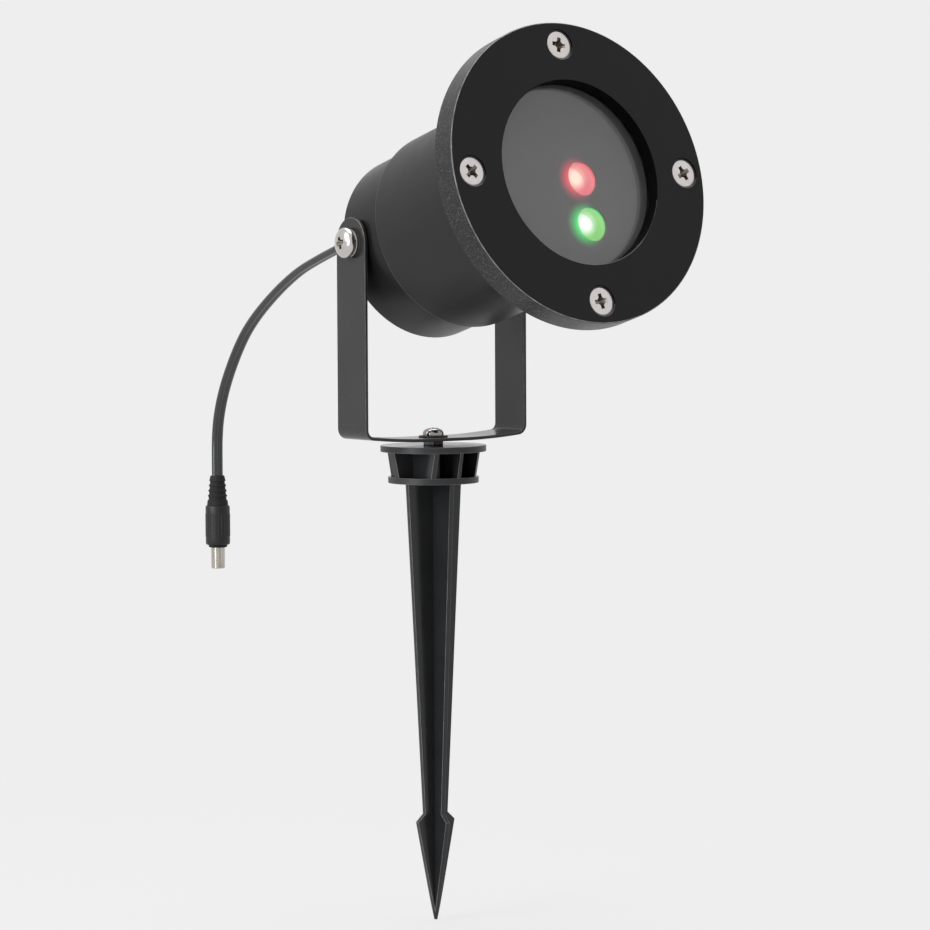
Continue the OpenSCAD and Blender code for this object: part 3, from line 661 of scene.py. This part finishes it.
# How round a pan head's shoulder is, the part of its height that is crowned, and the rings on its crown
SHOULDER = 2.3
CROWN_SHARE = 0.82
CROWN_RINGS = (0.62, 0.7, 0.78, 0.85, 0.9, 0.94, 0.97, 0.99, 0.998)

# Its cross's slot, as a share of the head's width, and the cross's depth, as a share of its height
SLOT_SHARE = 0.13
RECESS_SHARE = 0.5


def cross_mouth(width, slot, crown):
    """The outline of a cross recess with eased inner corners. The head's height at a radius is crown(r)."""
    corner = 0.95 * slot
    arm = [(width / 2, -slot / 2), (width / 2, slot / 2), (corner, slot / 2), (slot / 2, corner)]
    points = []
    for quarter in range(4):
        c, s = ((1, 0), (0, 1), (-1, 0), (0, -1))[quarter]
        points += [(x * c - y * s, x * s + y * c) for x, y in arm]
    return [Vector((x, y, crown(math.hypot(x, y)))) for x, y in points]


def driven_screw(rings, width, slot, depth, crown):
    """A screw with a cross recess.

    The rings are (radius, height), from the recess outwards and down to the screw's end."""
    bm = bmesh.new()
    sunk = bm.faces.layers.float.new("sunk")
    mouth = closed_loop(bm, [bm.verts.new(point) for point in cross_mouth(width, slot, crown)])
    wall = mouth
    for share, narrow in RECESS_PARTS:
        drop = Matrix.Translation((0, 0, -share * depth)) @ Matrix.Diagonal((narrow, narrow, 1, 1))
        wall = drawn_out(bm, wall, drop)
    bmesh.ops.contextual_create(bm, geom=wall)
    recess = list(bm.faces)
    radius, height = rings[0]
    circle = bmesh.ops.create_circle(bm, segments=SCREW_STEPS, radius=radius)["verts"]
    bmesh.ops.translate(bm, vec=(0, 0, height), verts=circle)
    loop = list({e for v in circle for e in v.link_edges})
    bmesh.ops.bridge_loops(bm, edges=mouth + loop)
    for (r0, z0), (r1, z1) in zip(rings, rings[1:]):
        loop = drawn_out(
            bm, loop, Matrix.Translation((0, 0, z1 - z0)) @ Matrix.Diagonal((r1 / r0, r1 / r0, 1, 1))
        )
    bmesh.ops.contextual_create(bm, geom=loop)
    for face in bm.faces:
        face[sunk] = 0
    # The recess faces are marked for grime and painted shade
    for face in recess:
        face[sunk] = 1
    bmesh.ops.recalc_face_normals(bm, faces=bm.faces)
    return bm


def domed_screw(width, height, shank, length, cross):
    """A screw with a pan head, its underside at z = 0. The cross is a share of the head's width."""
    rise = CROWN_SHARE * height

    def crown(r):
        return height - rise + rise * (1 - (2 * r / width) ** SHOULDER) ** (1 / SHOULDER)
    radius, edge = width / 2, 0.15
    rings = [(radius * share, crown(radius * share)) for share in CROWN_RINGS]
    rings += [
        (radius, height - rise - 0.05), (radius, edge), (radius - edge, 0), (shank / 2, 0),
        (shank / 2, -length)
    ]
    return driven_screw(rings, cross * width, SLOT_SHARE * width, RECESS_SHARE * height, crown)


BEZEL_FRONT = 93
SCREW_RING = 46
SCREW_SINK = 0.5
SCREW_TURNS = (28, -12, 40, 8)


def sunk_screws():
    """The four flat-headed screws in the bezel."""
    head, shank, edge = 5.0, 2.5, 0.22
    cone = head - shank
    rings = [
        (head - 2 * edge, 0), (head - edge, -0.05), (head - 0.04, -edge), (shank, -cone), (shank, -8.6),
        (shank - 0.4, -8.9)
    ]
    screw = driven_screw(rings, width=5.4, slot=1.5, depth=2.2, crown=lambda r: 0.0)
    places = []
    for quarter, turn in enumerate(SCREW_TURNS):
        around = Matrix.Rotation(math.radians(90 * quarter), 4, "Z")
        seat = Matrix.Translation((SCREW_RING, 0, BEZEL_FRONT - SCREW_SINK))
        places.append(CAN @ around @ seat @ Matrix.Rotation(math.radians(turn), 4, "Z"))
    set_on(shown(copies(screw, places), "bezel_screw_set", "stainless", SHARP), "head", "bezel_screws")


def washer(inner, outer, low, high, edge):
    """A flat washer with eased outer edges."""
    return turned([
        (inner, low), (outer - edge, low), (outer, low + edge), (outer, high - edge), (outer - edge, high),
        (inner, high)
    ], 72)


def split_washer(inner, outer, low, high, rise, gap):
    """A spring washer: a square wire wound once round but for a gap in degrees, its ends a rise apart."""
    bm = bmesh.new()
    top = high - rise
    corners = [bm.verts.new((r, 0, z)) for r, z in ((inner, low), (outer, low), (outer, top), (inner, top))]
    loop = closed_loop(bm, corners)
    end = bmesh.ops.contextual_create(bm, geom=loop)["faces"]
    steps = 60
    bmesh.ops.spin(
        bm, geom=corners + loop + end, axis=(0, 0, 1), cent=(0, 0, 0), angle=WHOLE_TURN - math.radians(gap),
        steps=steps, dvec=(0, 0, rise / steps)
    )
    bmesh.ops.recalc_face_normals(bm, faces=bm.faces)
    return bm


def tilt_hardware():
    """The domed tilt screws with their split and flat washers."""
    arm_out, lock_x, head_x = 36, 36.6, 37.6
    screw = domed_screw(width=11.2, height=3.2, shank=4.9, length=12, cross=0.4)
    placed(screw, Matrix.Translation((0, 0, head_x)))
    flat = washer(inner=2.6, outer=5, low=arm_out, high=lock_x, edge=0.12)
    spring = split_washer(inner=2.7, outer=4.6, low=lock_x, high=head_x, rise=0.15, gap=5)
    for shape, name, node in (
        (screw, "tilt_screw_pair", "tilt_screws"), (flat, "flat_washer_pair", "flat_washers"),
        (spring, "spring_washer_pair", "lock_washers")
    ):
        set_on(shown(copies(shape, TILT_ENDS), name, slots[node], SHARP), "head", node)


def pan_hardware():
    """The domed screw that holds the yoke on the stake, with its washer and thin nut."""
    strip_top, washer_top = 71.7, 72.3
    screw = domed_screw(width=7.8, height=2.9, shank=3.9, length=10, cross=0.58)
    placed(screw, Matrix.Translation((0, 0, washer_top)))
    placed(screw, Matrix.Rotation(math.radians(20), 4, "Z"))
    # The pan screw takes the darker chrome, as a painted darker reflection
    piece = shown(screw, "domed_pan_screw", slots["pan_screw"], SHARP, "dark_chrome")
    set_on(piece, "stake", "pan_screw")
    under = washer(inner=2.06, outer=5.4, low=strip_top, high=washer_top, edge=0.15)
    set_on(shown(under, "thin_pan_washer", slots["pan_washer"], SHARP), "stake", "pan_washer")
    set_on(softened("pan_nut", "thin_pan_nut", 0.25), "stake", "pan_nut")


sunk_screws()
tilt_hardware()
pan_hardware()


# The can, the yoke and the stake with eased edges

DISC_HEIGHTS = ((55, 57.3), (66.5, 68.8))
OPENINGS_REACH = SCREW_RING + 6


def bezel_ring():
    """The bezel: a smooth face, a grained rim that is paler and shinier than the face as painted light, and
    painted shade in its openings, where the walls and the slopes that don't face up are matt black.
    """
    hole, side = 1, 2
    bm = eased("bezel", 0.24, 3)
    worn_and_sheen = bm.faces.layers.float["worn_and_sheen"]
    to_can = CAN.inverted()

    # Walls, the slopes in the openings and the chamfer at the rim are told apart by the way that they face
    for face in bm.faces:
        place = to_can @ face.calc_center_median()
        normal = to_can.to_3x3() @ face.normal
        inside = math.hypot(place.x, place.y) < OPENINGS_REACH
        # Walls in the openings take the matt black of painted shade, and walls outside them the paler rim
        # coat
        if abs(normal.z) < 0.3:
            face.material_index = hole if inside else side
        # So do the slopes in the openings that don't face up
        if inside and 0.1 < normal.z < 0.98 and normal.y < 0.2:
            face.material_index = hole
        # The outer chamfer is marked for wear and a painted highlight
        if not inside:
            face[worn_and_sheen] = 0.45 < normal.z < 0.9
    ring = shown(bm, "bezel_ring", "bezel_paint", SOFT_CREASE)
    ring.data.materials.append(finishes["opening_shade_black"])
    ring.data.materials.append(finishes["bezel_side"])
    return ring


def garden_stake():
    """The moulded stake, with duller rims on its two discs than down its blade."""
    bm = eased("ground_stake", 0.28)
    for face in bm.faces:
        place = face.calc_center_median()
        on_disc = any(low < place.z < high for low, high in DISC_HEIGHTS)
        face.material_index = 1 if on_disc and abs(face.normal.z) < 0.9 else 0
    stake = shown(bm, "garden_stake", "stake_plastic", SOFT_CREASE)
    stake.data.materials.append(finishes["stake_disc"])
    return stake


set_on(bezel_ring(), "head", "bezel")
set_on(softened("front_tube", "front_can", 0.25), "head", "front_tube")
# The rear cap takes the darker paint, as painted shade
set_on(softened("rear_cap", "rear_can", 0.25, "cap_paint_shaded"), "head", "rear_cap")
set_on(softened("yoke", "yoke_strip", 0.22), "yoke", "yoke")
set_on(garden_stake(), "stake", "ground_stake")


# Window, plate and lights

LENS_RINGS = (1, 0.85, 0.68, 0.5, 0.3, 0.12, 0)


def window_pane():
    """The flat clear pane, which throws no shadow."""
    back, front, radius, edge = 86.15, 88, 35.8, 0.3
    pane = turned([
        (0, back), (radius - edge, back), (radius, back + edge), (radius, front - edge),
        (radius - edge, front), (0, front)
    ], closed=False)
    made = shown(placed(pane, CAN), "window_pane", "window_glass")
    made.visible_shadow = False
    return made


def dome(width, height, rise):
    """The height of a domed front at a radius."""
    ball = (width * width / 4 + rise * rise) / (2 * rise)
    return lambda r: height - ball + math.sqrt(max(ball * ball - r * r, 0))


def lens_blank(radius, back, edge, front):
    """A disc with a flat back and a domed front."""
    crown = dome(2 * radius, front, front - edge)
    rings = [(radius * share, crown(radius * share)) for share in LENS_RINGS]
    return turned([(0, back), (radius, back), *rings], 64, closed=False)


def light_pair():
    """A lens and a domed film for each of the two lights."""
    for tint, (side, up) in (("red", RED_AT), ("green", GREEN_AT)):
        beam = CAN @ Matrix.Translation((side, up, 0))
        lens = placed(lens_blank(radius=5.7, back=78.8, edge=79.3, front=LENS_FRONT), beam)
        set_on(shown(lens, f"{tint}_lens_dome", slots[f"{tint}_lens"]), "head", f"{tint}_lens")
        film = placed(lens_blank(radius=5.9, back=84.85, edge=85.2, front=FILM_FRONT), beam)
        piece = shown(film, f"{tint}_film_dome", slots[f"{tint}_grating"], finish=f"{tint}_film")
        set_on(piece, "head", f"{tint}_grating")


set_on(window_pane(), "head", "window_glass")
set_on(softened("face_plate", "front_plate", 0.12), "head", "face_plate")
light_pair()


# Gland, boots and plug

BOOT_STEPS = 56

# A boot's groove: how far along its pitch, as a share, and how deep in millimetres
GROOVE = ((0, 0), (0.12, 0.35), (0.4, 0.42), (0.68, 0.35), (0.8, 0))


def ribbed(profile, steps, low, high, depth):
    """A turned shape whose side faces between two heights have every second one raised as a rib."""
    bm = turned(profile, steps)
    sides = [f for f in bm.faces if low < f.calc_center_median().z < high and abs(f.normal.z) < 0.3]
    outer = max(f.calc_center_median().xy.length for f in sides)
    sides = [f for f in sides if f.calc_center_median().xy.length > outer - 0.3]
    sides.sort(key=lambda f: math.atan2(f.calc_center_median().y, f.calc_center_median().x))
    bmesh.ops.inset_individual(bm, faces=sides[::2], thickness=0.1, depth=depth, use_even_offset=True)
    return bm


def boot_profile(wide, narrow, length, grooves, hole):
    """A tapered boot with round grooves, from its wide end at z = 0."""
    def radius(z):
        return wide + (narrow - wide) * z / length
    points = [(hole, 0), (wide, 0)]
    first, last = 0.16 * length, 0.86 * length
    pitch = (last - first) / grooves
    for k in range(grooves):
        start = first + k * pitch
        for share, sink in GROOVE:
            z = start + share * pitch
            points.append((radius(z) - sink, z))
    return points + [(radius(length) - 0.3, length - 0.05), (hole, length)]


def gland_and_boot():
    """The fluted gland cap on its hexagon, with the ribbed boot round the lead."""
    mouth, shoulder, nose = -12.5, -17.9, -21.8
    cap = ribbed([
        (5.2, mouth), (7.1, mouth), (7.4, mouth - 0.3), (7.4, shoulder), (6.6, shoulder - 1.6),
        (4.9, nose + 0.2), (4.7, nose), (2.6, nose), (2.6, nose + 2.8), (5.2, nose + 2.8)
    ], steps=48, low=shoulder - 0.1, high=mouth - 0.35, depth=0.3)
    set_on(shown(placed(cap, GLAND), "fluted_gland_cap", "gland_plastic", SHARP), "head", "gland_cap")
    set_on(softened("gland_body", "gland_hexagon", 0.3), "head", "gland_body")
    boot = turned(boot_profile(wide=4.2, narrow=3.1, length=14, grooves=5, hole=1.4), BOOT_STEPS)
    outward = GLAND @ Matrix.Translation((0, 0, nose)) @ Matrix.Rotation(math.radians(180), 4, "X")
    set_on(shown(placed(boot, outward), "ribbed_lead_boot", slots["lead_boot"], 40), "head", "lead_boot")


def barrel_plug():
    """The round plug: a ribbed boot, a gripped body, a seal and a plated barrel with its insulator."""
    boot_top, body_top, face, tip = 50, 38, 22, 12.5
    grip = 3.4
    profile = boot_profile(wide=4.25, narrow=3.1, length=boot_top - body_top, grooves=4, hole=1.4)
    boot = placed(turned(profile, BOOT_STEPS), Matrix.Translation((0, 0, body_top)))
    body = ribbed([
        (0.5, face), (4.2, face), (4.7, face + 0.25), (4.9, face + 0.8), (4.9, face + grip),
        (4.9, body_top - grip), (4.9, body_top - 0.8), (4.7, body_top - 0.25), (4.2, body_top),
        (0.5, body_top)
    ], steps=48, low=face + grip, high=body_top - grip, depth=0.1)
    seal = turned([
        (2.6, face - 1), (3.4, face - 1), (3.75, face - 0.7), (3.75, face - 0.3), (3.4, face), (2.6, face)
    ], BOOT_STEPS)
    barrel = turned([
        (1.75, tip + 0.2), (1.95, tip), (2.5, tip), (2.75, tip + 0.35), (2.75, face - 1.1),
        (2.55, face - 1.1), (2.55, face), (1.75, face)
    ], 64)
    core = turned([(1.05, tip + 0.5), (1.25, tip + 0.3), (1.68, tip + 0.3), (1.68, face), (1.05, face)], 48)
    made = []
    for shape, name, node, crease, finish in (
        (boot, "ribbed_plug_boot", "plug_boot", 40, None),
        (body, "gripped_plug_body", "plug_body", SHARP, None),
        (seal, "plug_seal_ring", "plug_seal", 50, None),
        (barrel, "plated_plug_barrel", "plug_barrel", SHARP, "nickel_plate"),
        (core, "plug_core", "plug_insulator", SHARP, None)
    ):
        made.append(set_on(shown(placed(shape, PLUG), name, slots[node], crease, finish), "yoke", node))
    return made


gland_and_boot()
plug_pieces = barrel_plug()


# Floor and light

FLOOR_AT = Vector((0, 0, -107.5)) * MM
FLOOR_HALF = 6

# How plain the floor is under the tip, and the distances in metres between which its shadow fades
TIP_PLAIN = 0.85
SHADOW_FADE = (0.05, 0.4)
PAPER = 0.855
DIM_WORLD = 0.38
WARM_LAMP = (1, 0.95, 0.96)
COOL_LAMP = (0.85, 0.91, 1)


def plain_rays(tree):
    """1 for rays from the camera, by reflection or through glass, which show the plain background."""
    rays = put(tree, "LightPath").outputs
    indirect = sums(tree, "MAXIMUM", rays["Is Glossy Ray"], rays["Is Transmission Ray"])
    return sums(tree, "MAXIMUM", rays["Is Camera Ray"], indirect)


def pale_floor():
    """A wide pale sheet under the stake's tip, which keeps a soft shadow."""
    bm = bmesh.new()
    bmesh.ops.create_grid(bm, x_segments=8, y_segments=8, size=FLOOR_HALF)
    bmesh.ops.translate(bm, vec=FLOOR_AT, verts=bm.verts)
    mesh = bpy.data.meshes.new("pale_floor")
    bm.to_mesh(mesh)
    bm.free()
    floor = bpy.data.objects.new("pale_floor", mesh)
    scene.collection.objects.link(floor)
    finish, tree, shader, place = new_finish("floor_paper")
    feed(tree, shader, Base_Color=grey(0.8), Roughness=0.9, Specular_IOR_Level=0.1)
    plain = put(tree, "Emission", {"Color": grey(PAPER), "Strength": 1})
    away = put(tree, "VectorMath", {0: place, 1: FLOOR_AT}, operation="DISTANCE").outputs["Value"]
    share = sums(tree, "MULTIPLY", plain_rays(tree), spread(tree, away, TIP_PLAIN, 1, *SHADOW_FADE))
    both = put(tree, "MixShader", {0: share, 1: shader.outputs[0], 2: plain.outputs[0]})
    tree.links.new(both.outputs[0], tree.nodes["Material Output"].inputs["Surface"])
    mesh.materials.append(finish)


def soft_world():
    """A pale world, which gives less light than it shows."""
    world = bpy.data.worlds.new("studio")
    world.use_nodes = True
    scene.world = world
    tree = world.node_tree
    back = tree.nodes["Background"]
    feed(tree, back, Color=WHITE, Strength=spread(tree, plain_rays(tree), DIM_WORLD, PAPER, 0, 1))


def lamp(name, place, target, size, power, tint):
    """A soft rectangular lamp, aimed at a point. All are in metres and watts."""
    data = bpy.data.lights.new(name, "AREA")
    data.shape = "RECTANGLE"
    data.color = tint
    data.size, data.size_y = size
    data.energy = power
    made = bpy.data.objects.new(name, data)
    made.location = place
    made.rotation_euler = (Vector(target) - Vector(place)).to_track_quat("-Z", "Y").to_euler()
    scene.collection.objects.link(made)


pale_floor()
soft_world()
lamp(
    "left_box", place=(-1.3, 0.2, 0.75), target=(0, 0, 0.12), size=(0.9, 0.9), power=12.5, tint=WARM_LAMP
)
lamp(
    "left_strip", place=(-1.3, -0.15, 0.25), target=(0, 0, 0.1), size=(0.45, 0.66), power=6.5, tint=COOL_LAMP
)
lamp("top_box", place=(0.1, 0.2, 1.5), target=(0, 0, 0.1), size=(1.2, 1.2), power=16, tint=WARM_LAMP)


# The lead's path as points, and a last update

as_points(lead_path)
bpy.context.view_layer.update()
